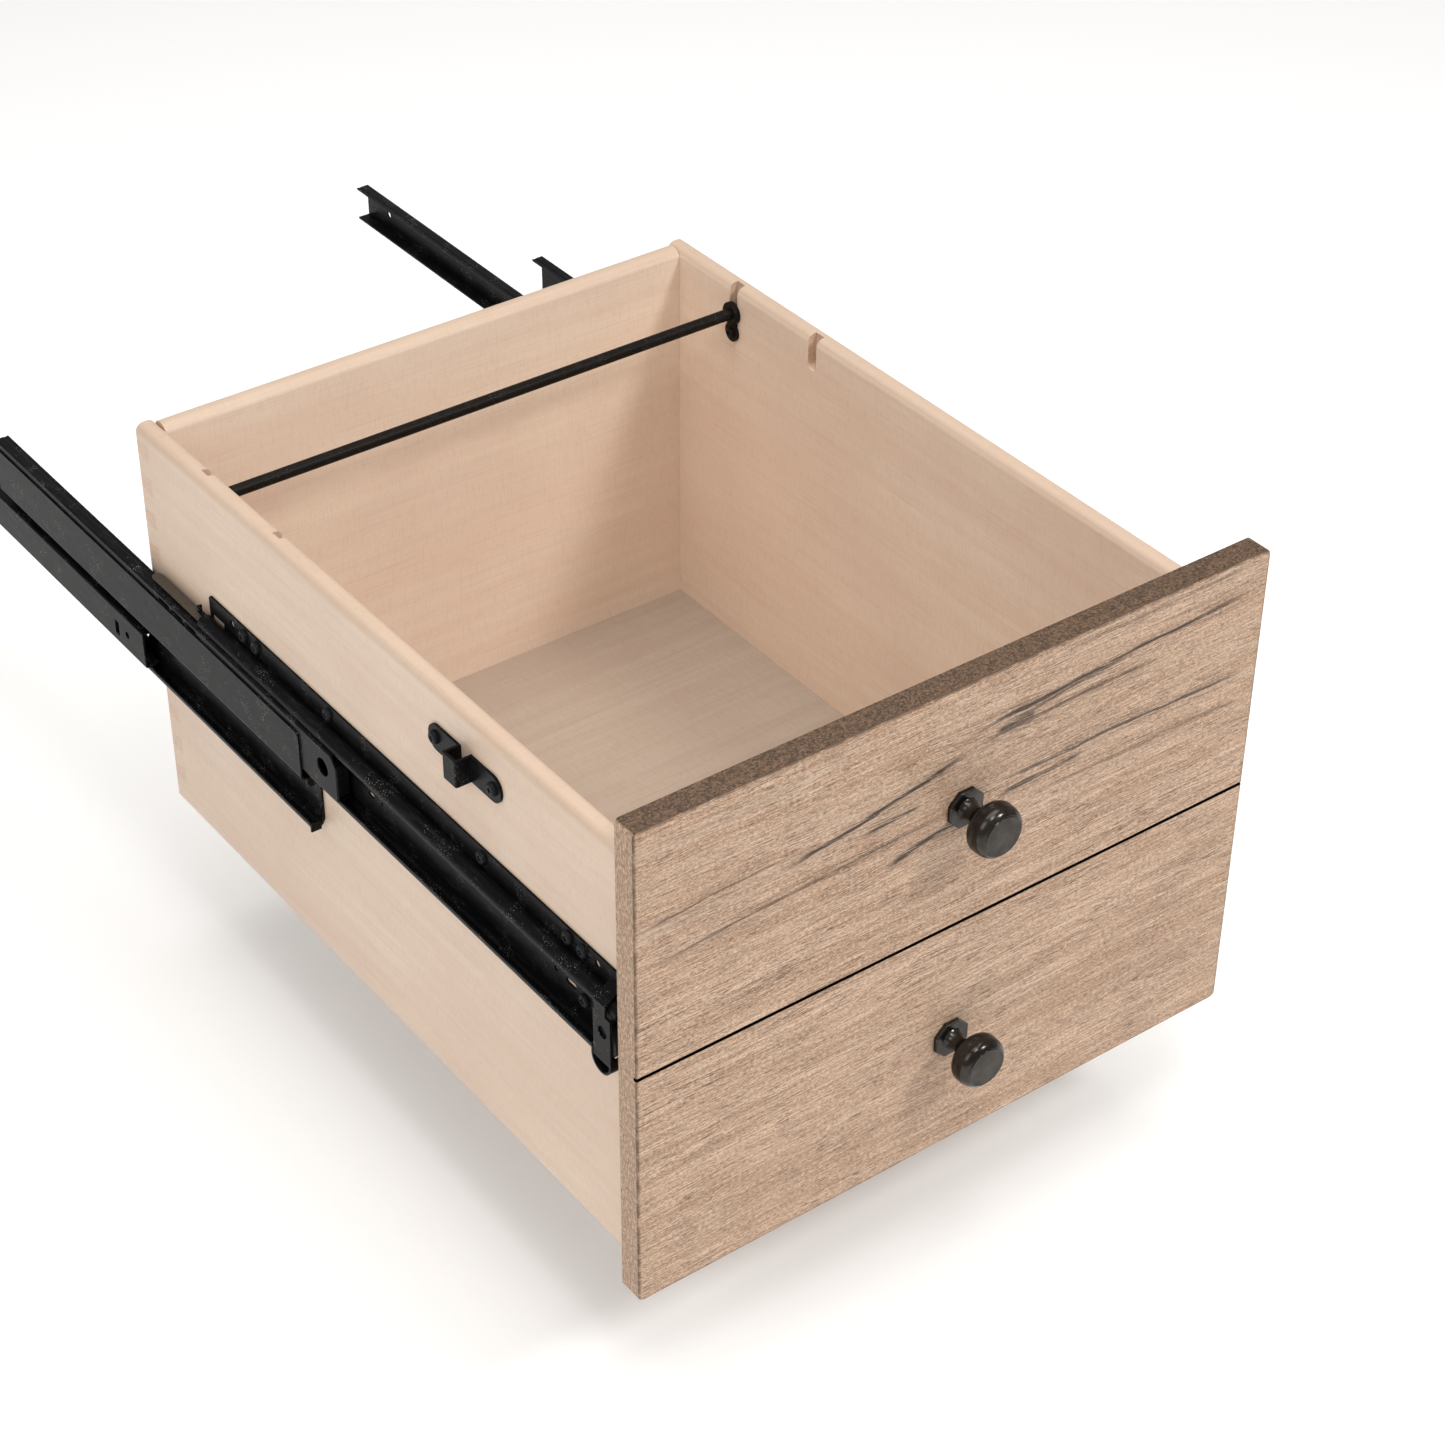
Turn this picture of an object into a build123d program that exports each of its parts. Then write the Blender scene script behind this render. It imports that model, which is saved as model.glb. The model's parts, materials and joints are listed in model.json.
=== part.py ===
from build123d import *
import os

os.makedirs("parts", exist_ok=True)

# A file drawer that hangs under a desk on two telescopic slides, drawn fully open. Millimetres.
# +Y runs into the desk and the drawer's front faces -Y. The origin is the middle of the desk
# opening's lower edge, in the desk's front plane. The left hand is -X.

travel = 458.0                    # how far the drawer comes out
slide_gap = 12.7                  # room for a slide between the box and the desk on each side

# False front
front_width = 388.0
front_height = 294.0
front_thick = 14.5
front_corner = 3.0
front_ease = 1.0
split_z = 147.75                  # the saw groove that makes one front look like two drawers
split_width = 1.5
split_depth = 2.2

# Drawer box
box_width = 368.0
board = 12.0
box_low = 10.4
box_top = 263.5
box_rear = 483.5                  # distances along the drawer are counted from the front's face
bullnose = 5.0
panel_low = 14.6
panel_top = 20.6
panel_tongue = 6.0
side_x = box_width / 2
inner_x = side_x - board

# Dovetails of the rear corners
pin_pitch = 22.0
pin_first_z = 30.0
pin_count = 11
pin_root_half = 5.6
pin_tip_half = 3.6

# Knobs
knob_heights = {"upper": 221.0, "lower": 73.0}
plate_across = 21.0
plate_thick = 2.5
knob_bore = 2.1
knob_bore_end = 9.5
knob_screw_end = 8.5
knob_hole = 2.3                   # radius of the hole through the front and the box front

# Four screws fix the false front from inside the box
fixing_x = (-120.0, 120.0)
fixing_z = (60.0, 225.0)
fixing_pilot_start = 6.0
fixing_tip = 7.0                  # where the screws' tips end in the false front

# File rods, as distances behind the front's face: legal and letter spacings from the front rod
rod_distances = {"front": 33.5, "rear": 417.5}
spare_groove_distance = 342.5
rod_radius = 3.5
rod_z = 246.0
groove_radius = 3.7
groove_depth = 5.8
socket_screw_drop = 12.6
collar_radius = 7.0
socket_foot_radius = 5.9
socket_waist = 8.4
socket_plate = 1.6
collar_height = 3.3               # from the side board to the collar's rim

# Lock strike on the left side
strike_low = 227.5
strike_high = 243.0
strike_sheet = 1.5
strike_reach = 10.3
strike_ends = (122.0, 186.4)
strike_hat = (148.0, 160.0)
strike_screws = (129.0, 180.4)
strike_end_round = 7.6

# Slides: u is the distance outboard of the box side
sheet = 1.2
ball_radius = 2.38
ball_room = 2.7                   # radius of the groove that a ball runs in
race_outer = 4.6
race_inner = race_outer - sheet
drawer_rail_ends = (17.0, 413.5)
upper_rail_ends = (266.0, 656.0)
lower_rail_ends = (303.0, 656.0)
lower_plate_top = 167.8
plate_bend = 3.0                  # outer radius of the bend between the plate and the roof
cabinet_rail_ends = (480.0, 880.0)
upper_cage_ends = (286.0, 406.0)
lower_cage_ends = (520.0, 640.0)
cage_tongue_end = 470.0           # the upper cage's top arm runs on past the drawer rail
upper_centre_z = 158.65           # middle of the upper channel
upper_ball_u = 5.0
upper_ball_half = 16.45           # ball rows above and below the channel's middle
lower_centre_z = 119.85
lower_ball_u = 5.2
lower_ball_half = 14.25
cage_sheet = 0.6
cage_edge = 3.0                   # how far a cage reaches beside its balls' centres
balls_per_row = 7
flange_top = 190.5
flange_screws = (55.0, 67.5, 142.0, 288.0, 362.0, 375.5)
flange_screw_z = 185.0
web_screw = (54.0, 155.0)
spare_flange_holes = (43.4, 388.5)
hook_end = 419.0                  # the hook at the drawer rail's rear
stop_lug_distance = 276.0
folded_front_z = (148.0, 169.0)
front_eye_radius = 5.4            # a large hole near the upper middle rail's front end
middle_slots = (419.0, 434.0, 449.0)
cabinet_hole_distances = (500.0, 852.0)
cabinet_hole_radius = 2.25
access_hole_radius = 5.0
rivet_distances = (335.0, 470.0, 605.0)
rivet_radius = 1.5
rivet_head_radius = 3.2

# Catches at the slides' front ends
catch_plate_ends = (19.0, 33.0)
catch_plate_u = (10.2, 11.4)
catch_plate_top = 171.0
catch_hole = (25.4, 160.6)        # distance and height of the round hole
catch_hole_radius = 3.5
strap_ends = (23.0, 32.0)
cup_ends = (19.0, 35.0)
cup_z = 142.0
cup_outer = (cup_ends[1] - cup_ends[0]) / 2
cup_u = 1.5
lip_gap_end = 36.3                # the drawer rail's lower lip starts behind the catch
bumper = (26.5, 152.5)            # distance and height of the bumper's axis
bumper_radius = 8.4
bumper_u = (sheet, 9.4)

# Pan-head screws
screw_head_radius = 3.7
screw_head_height = 2.2
screw_shank_radius = 1.7
screw_shank = 9.0
screw_free_radius = 1.9           # a hole that a screw passes through
side_pilot_depth = 8.4
socket_head_radius = 3.1


def at(distance):
    """Y of a point that far behind the front's face while the drawer is open."""
    return distance - travel


def save(piece, name):
    """Names a finished piece and writes it."""
    piece.part.label = name
    export_step(piece.part, "parts/" + name + ".step")


def save_pair(piece, name):
    """Writes a left-hand piece, and its mirror image for the right hand."""
    save(piece, name + "_left")
    with BuildPart() as other:
        mirror(piece.part, about=Plane.YZ)
    save(other, name + "_right")


def block(x, y, z, mode=Mode.ADD):
    """A box given by its low and high X, Y and Z."""
    with Locations(((x[0] + x[1]) / 2, (y[0] + y[1]) / 2, (z[0] + z[1]) / 2)):
        Box(x[1] - x[0], y[1] - y[0], z[1] - z[0], mode=mode)


def cross_bore(x, y, z, radius, mode=Mode.SUBTRACT):
    """A round hole or bar along X, from x[0] to x[1]."""
    with Locations(Location(((x[0] + x[1]) / 2, y, z), (0, 90, 0))):
        Cylinder(radius, x[1] - x[0], mode=mode)


def long_bore(x, y, z, radius, mode=Mode.SUBTRACT):
    """A round hole or bar along Y, from y[0] to y[1]."""
    with Locations(Location((x, (y[0] + y[1]) / 2, z), (90, 0, 0))):
        Cylinder(radius, y[1] - y[0], mode=mode)


def pan_screw(shank, head_radius=screw_head_radius):
    """A cross-head screw along Z, its head standing on Z = 0."""
    with BuildPart() as screw:
        Cylinder(head_radius, screw_head_height, align=(Align.CENTER, Align.CENTER, Align.MIN))
        fillet(screw.edges().sort_by(Axis.Z)[-1], 0.6 * screw_head_height)
        Cylinder(screw_shank_radius, shank, align=(Align.CENTER, Align.CENTER, Align.MAX))
        with Locations((0, 0, screw_head_height)):
            Box(head_radius, 0.9, 2.4, mode=Mode.SUBTRACT)
            Box(0.9, head_radius, 2.4, mode=Mode.SUBTRACT)
    return screw.part


# ---------------------------------------------------------------- false front and knobs

with BuildPart() as drawer_front:
    block((-front_width / 2, front_width / 2), (at(0), at(front_thick)), (0, front_height))
    fillet(drawer_front.edges().filter_by(Axis.Y), front_corner)
    fillet(drawer_front.faces().sort_by(Axis.Y)[0].edges(), front_ease)
    block((-front_width, front_width), (at(-1), at(split_depth)),
          (split_z - split_width / 2, split_z + split_width / 2), Mode.SUBTRACT)
    for knob_z in knob_heights.values():
        long_bore(0, (at(-1), at(front_thick + 1)), knob_z, knob_hole)
    for screw_x in fixing_x:
        for screw_z in fixing_z:
            pilot = (at(fixing_pilot_start), at(front_thick + 1))
            long_bore(screw_x, pilot, screw_z, screw_shank_radius)
save(drawer_front, "drawer_front")

for level, knob_z in knob_heights.items():
    with BuildPart() as knob_plate:
        with BuildSketch(Plane.XZ.offset(-at(0))):
            with Locations((0, knob_z)):
                RegularPolygon(plate_across / 2, 8, major_radius=False, rotation=22.5)
                Circle(knob_bore, mode=Mode.SUBTRACT)
        extrude(amount=plate_thick)
        chamfer(knob_plate.faces().sort_by(Axis.Y)[0].outer_wire().edges(), 0.7)
    save(knob_plate, "knob_plate_" + level)

    with BuildPart() as knob:
        # The half section: x is the radius and -y the distance out from the front's face.
        with BuildSketch(Plane((0, at(0), knob_z))):
            with BuildLine():
                Polyline((0, -29.3), (0, -plate_thick), (6.4, -plate_thick))
                Spline((6.4, -plate_thick), (4.6, -6.5), (5.6, -12.0), (11.4, -15.6), (14.0, -18.2))
                Polyline((14.0, -18.2), (14.4, -19.2), (14.5, -20.4), (14.1, -20.7), (14.5, -21.0),
                         (14.5, -21.7), (14.1, -22.0), (14.5, -22.3), (14.4, -23.6))
                Spline((14.4, -23.6), (13.6, -26.6), (11.5, -28.8))
                Polyline((11.5, -28.8), (11.2, -28.8), (10.9, -29.3), (0, -29.3))
            make_face()
        revolve(axis=Axis((0, 0, knob_z), (0, 1, 0)))
        long_bore(0, (at(-knob_bore_end), at(0)), knob_z, knob_bore)
    save(knob, "knob_" + level)

# ---------------------------------------------------------------- drawer box


def bottom_panel(mode=Mode.ADD):
    """The bottom panel, or the groove that holds its edges."""
    reach = inner_x + panel_tongue
    first = front_thick + board - panel_tongue
    block((-reach, reach), (at(first), at(box_rear - board + panel_tongue)), (panel_low, panel_top), mode)


def pins(low_x, mode):
    """The dovetail pins of the back board's end, through one side's thickness."""
    with BuildSketch(Plane.YZ.offset(low_x)) as ends:
        for index in range(pin_count):
            z = pin_first_z + index * pin_pitch
            root, tip = at(box_rear - board), at(box_rear)
            with BuildLine():
                Polyline((root, z - pin_root_half), (tip, z - pin_tip_half), (tip, z + pin_tip_half),
                         (root, z + pin_root_half), close=True)
            make_face()
    extrude(ends.sketch, amount=board, mode=mode)


def rod_groove(low_x, distance):
    """A groove for a file rod's end, open at the top of a side board."""
    cross_bore((low_x, low_x + groove_depth), at(distance), rod_z, groove_radius)
    block((low_x, low_x + groove_depth), (at(distance) - groove_radius, at(distance) + groove_radius),
          (rod_z, box_top + 1), Mode.SUBTRACT)


with BuildPart() as box_bottom:
    bottom_panel()
save(box_bottom, "box_bottom")

with BuildPart() as box_front:
    block((-inner_x, inner_x), (at(front_thick), at(front_thick + board)), (box_low, box_top))
    bottom_panel(Mode.SUBTRACT)
    through = (at(front_thick - 1), at(front_thick + board + 1))
    for knob_z in knob_heights.values():
        long_bore(0, through, knob_z, knob_hole)
    for screw_x in fixing_x:
        for screw_z in fixing_z:
            long_bore(screw_x, through, screw_z, screw_shank_radius)
save(box_front, "box_front")

with BuildPart() as box_back:
    with BuildSketch(Plane.YZ.offset(-inner_x)) as back_section:
        with Locations((at(box_rear - board / 2), (box_low + box_top) / 2)):
            Rectangle(board, box_top - box_low)
        fillet(back_section.vertices().group_by(Axis.Y)[-1], bullnose)
    extrude(amount=2 * inner_x)
    pins(-side_x, Mode.ADD)
    pins(inner_x, Mode.ADD)
    bottom_panel(Mode.SUBTRACT)
save(box_back, "box_back")


def side_board(sign):
    """One side of the box, with the rod grooves, the bottom's groove and the dovetail sockets."""
    low_x = min(sign * inner_x, sign * side_x)
    with BuildSketch(Plane.XZ.offset(-at(box_rear))) as section:
        with Locations((low_x + board / 2, (box_low + box_top) / 2)):
            Rectangle(board, box_top - box_low)
        fillet(section.vertices().group_by(Axis.Y)[-1], bullnose)
    extrude(section.sketch, amount=box_rear - front_thick)
    pins(low_x, Mode.SUBTRACT)
    bottom_panel(Mode.SUBTRACT)
    groove_x = -inner_x - groove_depth if sign < 0 else inner_x
    for distance in (*rod_distances.values(), spare_groove_distance):
        rod_groove(groove_x, distance)
    inner_pilot = sorted((sign * inner_x, sign * (inner_x + side_pilot_depth)))
    outer_pilot = sorted((sign * side_x, sign * (side_x - side_pilot_depth)))
    for distance in rod_distances.values():
        cross_bore(inner_pilot, at(distance), rod_z - socket_screw_drop, screw_shank_radius)
    for distance in flange_screws:
        cross_bore(outer_pilot, at(distance), flange_screw_z, screw_shank_radius)
    cross_bore(outer_pilot, at(web_screw[0]), web_screw[1], screw_shank_radius)
    return outer_pilot


with BuildPart() as box_side_left:
    outer_pilot = side_board(-1)
    for distance in strike_screws:
        cross_bore(outer_pilot, at(distance), (strike_low + strike_high) / 2, screw_shank_radius)
save(box_side_left, "box_side_left")

with BuildPart() as box_side_right:
    side_board(1)
save(box_side_right, "box_side_right")

# Screws from inside the box: two through the knobs' axes and four into the false front.
inside_y = at(front_thick + board)
facing_in = (-90, 0, 0)

knob_screw = pan_screw(front_thick + board + knob_screw_end)
with BuildPart() as knob_screws:
    with Locations(*[Location((0, inside_y, z), facing_in) for z in knob_heights.values()]):
        add(knob_screw)
save(knob_screws, "knob_screws")

fixing_screw = pan_screw(front_thick + board - fixing_tip)
with BuildPart() as front_fixing_screws:
    with Locations(*[Location((x, inside_y, z), facing_in) for x in fixing_x for z in fixing_z]):
        add(fixing_screw)
save(front_fixing_screws, "front_fixing_screws")

# ---------------------------------------------------------------- file rods and lock strike

for place, distance in rod_distances.items():
    with BuildPart() as file_rod:
        rod_half = inner_x + groove_depth - 0.3
        cross_bore((-rod_half, rod_half), at(distance), rod_z, rod_radius, Mode.ADD)
        chamfer(file_rod.edges().filter_by(GeomType.CIRCLE), 0.5)
    save(file_rod, "file_rod_" + place)

    with BuildPart() as rod_socket:
        # A thin plate on the side's inner face, with a raised collar round the rod.
        screw_z = rod_z - socket_screw_drop
        with BuildSketch(Plane.YZ.offset(-inner_x)):
            with Locations((at(distance), rod_z)):
                Circle(collar_radius)
            with Locations((at(distance), screw_z)):
                Circle(socket_foot_radius)
            with Locations((at(distance), (rod_z + screw_z) / 2)):
                Rectangle(socket_waist, socket_screw_drop)
        extrude(amount=socket_plate)
        with BuildSketch(Plane.YZ.offset(-inner_x + socket_plate)):
            with Locations((at(distance), rod_z)):
                Circle(collar_radius)
        extrude(amount=collar_height - socket_plate)
        chamfer(rod_socket.faces().sort_by(Axis.X)[-1].edges(), 0.7)
        through = (-inner_x - 1, -inner_x + collar_height + 1)
        cross_bore(through, at(distance), rod_z, rod_radius + 0.15)
        cross_bore(through, at(distance), screw_z, screw_shank_radius)
    save_pair(rod_socket, "rod_socket_" + place)

socket_screw = pan_screw(screw_shank, socket_head_radius)
with BuildPart() as rod_socket_screws:
    for distance in rod_distances.values():
        screw_z = rod_z - socket_screw_drop
        head_x = inner_x - socket_plate
        with Locations(Location((-head_x, at(distance), screw_z), (0, 90, 0)),
                       Location((head_x, at(distance), screw_z), (0, -90, 0))):
            add(socket_screw)
save(rod_socket_screws, "rod_socket_screws")

with BuildPart() as lock_strike:
    # A flat strip with a square hat folded into it, which the desk's lock bar drops behind.
    outer = -side_x - strike_reach
    z = (strike_low, strike_high)
    block((-side_x - strike_sheet, -side_x), (at(strike_ends[0]), at(strike_hat[0] + strike_sheet)), z)
    block((-side_x - strike_sheet, -side_x), (at(strike_hat[1] - strike_sheet), at(strike_ends[1])), z)
    block((outer, -side_x), (at(strike_hat[0]), at(strike_hat[0] + strike_sheet)), z)
    block((outer, -side_x), (at(strike_hat[1] - strike_sheet), at(strike_hat[1])), z)
    block((outer, outer + strike_sheet), (at(strike_hat[0]), at(strike_hat[1])), z)
    fillet(lock_strike.edges().filter_by(Axis.X).group_by(Axis.Y)[0], strike_end_round)
    fillet(lock_strike.edges().filter_by(Axis.X).group_by(Axis.Y)[-1], strike_end_round)
    fillet(lock_strike.edges().filter_by(Axis.Z).group_by(Axis.X)[0], 1.2)
    for distance in strike_screws:
        cross_bore((-side_x - 3, -side_x + 1), at(distance), (z[0] + z[1]) / 2, screw_free_radius)
save(lock_strike, "lock_strike")

facing_left = (0, -90, 0)
side_screw = pan_screw(screw_shank)
with BuildPart() as strike_screw_pair:
    z = (strike_low + strike_high) / 2
    with Locations(*[Location((-side_x - strike_sheet, at(y), z), facing_left) for y in strike_screws]):
        add(side_screw)
save(strike_screw_pair, "strike_screws")

# ---------------------------------------------------------------- slides, left hand
# Each rail is a cross-section in u and Z, drawn on a plane across the slide and drawn out along Y.


def section_plane(distance):
    """The plane across the slide at a distance; a section drawn on it extrudes towards the front."""
    return Plane.XZ.offset(-at(distance))


def place(u, z):
    """The sketch position of a point of the left slide's section."""
    return (-(side_x + u), z)


def bar(u, z, mode=Mode.ADD):
    """A rectangle of the left slide's section, given by its low and high u and Z."""
    with Locations(place((u[0] + u[1]) / 2, (z[0] + z[1]) / 2)):
        Rectangle(u[1] - u[0], z[1] - z[0], mode=mode)


def race_arch(u, z, up):
    """Half a ring, the curved wall round a row of balls; up is 1 for an arch and -1 for a trough."""
    with Locations(place(u, z)):
        Circle(race_outer)
        Circle(race_inner, mode=Mode.SUBTRACT)
    with Locations(place(u, z - up * race_outer)):
        Rectangle(2 * race_outer + 1, 2 * race_outer, mode=Mode.SUBTRACT)


def ball_track(u, z):
    """The shallow groove that a row of balls wears a place in."""
    with Locations(place(u, z)):
        Circle(ball_room, mode=Mode.SUBTRACT)


def slab(u, y, z, mode=Mode.ADD):
    """A box on the left slide, given by its low and high u, distance and Z."""
    block((-side_x - u[1], -side_x - u[0]), (at(y[0]), at(y[1])), z, mode)


def side_hole(y, z, radius, u=(-0.5, 13.5)):
    """A round hole across the left slide."""
    cross_bore((-side_x - u[1], -side_x - u[0]), at(y), z, radius)


def slot(y, z, length, width, u=(-0.5, 13.5)):
    """A round-ended slot across the left slide, along Y."""
    with BuildSketch(Plane.YZ.offset(-side_x - u[1])) as outline:
        with Locations((at(y), z)):
            SlotOverall(length, width)
    extrude(outline.sketch, amount=u[1] - u[0], mode=Mode.SUBTRACT)


drawer_arch_z = upper_centre_z + upper_ball_half - 0.7
drawer_trough_z = upper_centre_z - upper_ball_half + 0.7
drawer_rail_length = drawer_rail_ends[1] - drawer_rail_ends[0]
web_u = (-0.5, 3.0)               # clear across the drawer rail's web

with BuildPart() as drawer_rail:
    with BuildSketch(section_plane(drawer_rail_ends[1])):
        race_arch(upper_ball_u, drawer_arch_z, 1)
        race_arch(upper_ball_u, drawer_trough_z, -1)
        bar((upper_ball_u + race_inner, upper_ball_u + race_outer), (173.1, drawer_arch_z))
        bar((upper_ball_u + race_inner, upper_ball_u + race_outer), (drawer_trough_z, 144.2))
        bar((0, sheet), (drawer_trough_z - 1, flange_top))
    extrude(amount=drawer_rail_length)
    # The lower lip stops short of the catch bracket.
    slab((sheet, 12), (drawer_rail_ends[0] - 1, lip_gap_end), (130, 150), Mode.SUBTRACT)
    flange_corners = drawer_rail.edges().filter_by(Axis.X).group_by(Axis.Z)[-1]
    chamfer(flange_corners, 1.5)
    for distance in flange_screws:
        side_hole(distance, flange_screw_z, screw_free_radius, web_u)
    side_hole(web_screw[0], web_screw[1], screw_free_radius, web_u)
    for distance in spare_flange_holes:
        side_hole(distance, flange_screw_z, 2.2, web_u)
    side_hole(79.0, 157.5, 1.5, web_u)
    side_hole(238.0, 156.7, 1.3, web_u)
    slot(66.0, 157.0, 9.0, 3.4, web_u)
    slot(248.5, 156.7, 6.0, 3.2, web_u)
    # A window through the web beside the race, and a small hook that turns up from the race's rear.
    slab((-1, 2.0), (398.0, 411.7), (174.6, 180.0), Mode.SUBTRACT)
    race_top = drawer_arch_z + race_outer
    slab((3.6, 6.4), (drawer_rail_ends[1] - 1, hook_end), (race_top - sheet, race_top))
    slab((3.6, 6.4), (hook_end - sheet, hook_end), (race_top - sheet, race_top + 3.6))
save_pair(drawer_rail, "drawer_rail")

with BuildPart() as drawer_rail_screws:
    head_x = -side_x - sheet
    spots = [(distance, flange_screw_z) for distance in flange_screws] + [web_screw]
    with Locations(*[Location((head_x, at(y), z), facing_left) for y, z in spots]):
        add(side_screw)
save_pair(drawer_rail_screws, "drawer_rail_screws")

with BuildPart() as front_catch:
    # A strap from the flange over the race, a flat plate with an oval hole, and a cup below.
    with BuildSketch(section_plane(strap_ends[1])):
        with BuildLine():
            Polyline(place(sheet, 184.6), place(sheet, 182.9), place(9.9, 176.9),
                     place(catch_plate_u[0], 176.2), place(catch_plate_u[0], catch_plate_top - 1),
                     place(catch_plate_u[1], catch_plate_top - 1), place(catch_plate_u[1], 177.4),
                     place(10.9, 178.2), close=True)
        make_face()
    extrude(amount=strap_ends[1] - strap_ends[0])
    slab(catch_plate_u, catch_plate_ends, (cup_z, catch_plate_top))
    with BuildSketch(Plane.YZ.offset(-side_x - catch_plate_u[1])):
        with Locations((at(sum(cup_ends) / 2), cup_z)):
            Circle(cup_outer)
            Circle(cup_outer - sheet, mode=Mode.SUBTRACT)
        with Locations((at(sum(cup_ends) / 2), cup_z + cup_outer)):
            Rectangle(3 * cup_outer, 2 * cup_outer, mode=Mode.SUBTRACT)
    extrude(amount=catch_plate_u[1] - cup_u)
    slab((cup_u, catch_plate_u[1]), (cup_ends[0], cup_ends[0] + sheet), (cup_z, cup_z + 4))
    slab((cup_u, catch_plate_u[1]), (cup_ends[1] - sheet, cup_ends[1]), (cup_z, cup_z + 4))
    side_hole(*catch_hole, catch_hole_radius, (8, 14))
save_pair(front_catch, "front_catch")

with BuildPart() as catch_bumper:
    # A soft disc that the middle rail closes against.
    across = (-side_x - bumper_u[1], -side_x - bumper_u[0])
    cross_bore(across, at(bumper[0]), bumper[1], bumper_radius, Mode.ADD)
    chamfer(catch_bumper.edges().filter_by(GeomType.CIRCLE), 0.8)
save_pair(catch_bumper, "catch_bumper")

upper_lip = upper_ball_half - ball_room + 0.3
with BuildPart() as middle_rail_upper:
    # The inner channel that runs in the drawer rail: its web is outboard and its lips point inboard.
    low = upper_centre_z - upper_lip
    high = upper_centre_z + upper_lip
    with BuildSketch(section_plane(upper_rail_ends[1])) as section:
        bar((10.2, 11.4), (low, high))
        bar((3.0, 11.0), (high - sheet, high))
        bar((3.0, 11.0), (low, low + sheet))
        fillet(section.vertices().group_by(Axis.X)[0], 1.1)
        ball_track(upper_ball_u, upper_centre_z + upper_ball_half)
        ball_track(upper_ball_u, upper_centre_z - upper_ball_half)
    extrude(amount=upper_rail_ends[1] - upper_rail_ends[0])
    side_hole(280.0, 160.0, front_eye_radius, (9, 12))
    for distance in middle_slots:
        slot(distance, 169.6, 12.0, 2.4, (9, 12))
    for distance in rivet_distances:
        side_hole(distance, upper_centre_z, rivet_radius + 0.1, (9, 12))
    # The web's front end folds inboard, and a lug folded from the web stops the ball cage.
    slab((4.2, 11.4), (upper_rail_ends[0], upper_rail_ends[0] + sheet), folded_front_z)
    slab((2.2, 10.2), (stop_lug_distance, stop_lug_distance + sheet), (162.5, 168.0))
    front_corners = middle_rail_upper.edges().filter_by(Axis.Z).group_by(Axis.Y)[0].group_by(Axis.X)[0]
    fillet(front_corners, 1.0)
    # The front end's upper corner is cut off at a slant.
    with BuildSketch(Plane.YZ.offset(-side_x - 13)) as corner:
        with BuildLine():
            front = at(upper_rail_ends[0])
            Polyline((front - 1, 166.0), (front, 166.0), (front + 7, 174.0), (front - 1, 174.0), close=True)
        make_face()
    extrude(corner.sketch, amount=13, mode=Mode.SUBTRACT)
save_pair(middle_rail_upper, "middle_rail_upper")

lower_arch_z = lower_centre_z + lower_ball_half - 0.7
lower_trough_z = lower_centre_z - lower_ball_half + 0.7
roof_top = lower_arch_z + race_outer
with BuildPart() as middle_rail_lower:
    # A plate against the upper rail's back, folded inboard into a channel round the cabinet rail.
    with BuildSketch(section_plane(lower_rail_ends[1])) as section:
        race_arch(lower_ball_u, lower_arch_z, 1)
        bar((lower_ball_u, 11), (lower_arch_z - 1, roof_top), Mode.SUBTRACT)
        race_arch(lower_ball_u, lower_trough_z, -1)
        outer_wall = (lower_ball_u + race_inner, lower_ball_u + race_outer)
        bar(outer_wall, (lower_trough_z, lower_trough_z + sheet))
        bar((lower_ball_u, 12.4), (roof_top - sheet, roof_top))
        bar((11.4, 12.4), (roof_top - sheet, lower_plate_top))
        bar((0.4, 0.4 + sheet), (lower_trough_z - 1, lower_arch_z + 1))
        fillet(section.vertices().sort_by_distance((*place(12.4, roof_top - sheet), 0))[0], plate_bend)
        fillet(section.vertices().sort_by_distance((*place(11.4, roof_top), 0))[0], plate_bend - 1)
    extrude(amount=lower_rail_ends[1] - lower_rail_ends[0])
    chamfer(middle_rail_lower.edges().filter_by(Axis.X).group_by(Axis.Z)[-1], 2.0)
    for distance in rivet_distances:
        side_hole(distance, upper_centre_z, rivet_radius + 0.1, (9, 13))
    # Way through to the cabinet rail's front screw while the drawer is open.
    side_hole(cabinet_hole_distances[0], lower_centre_z, access_hole_radius, (-0.5, 4))
    # Two small ball-stop ears turned into the front end, and a lug that stops the lower cage.
    ear = (lower_rail_ends[0] - sheet, lower_rail_ends[0])
    slab((3.4, 9.6), ear, (roof_top - 6.0, roof_top))
    slab((3.4, 9.6), ear, (lower_trough_z - race_outer, lower_trough_z + 1.0))
    slab((0.4, 10.4), (645.0, 646.2), (113.5, 123.0))
save_pair(middle_rail_lower, "middle_rail_lower")

with BuildPart() as middle_rail_rivets:
    for distance in rivet_distances:
        shank = (-side_x - 12.4, -side_x - 9.6)
        head = (-side_x - 10.2, -side_x - 9.1)
        cross_bore(shank, at(distance), upper_centre_z, rivet_radius, Mode.ADD)
        cross_bore(head, at(distance), upper_centre_z, rivet_head_radius, Mode.ADD)
save_pair(middle_rail_rivets, "middle_rail_rivets")

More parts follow.
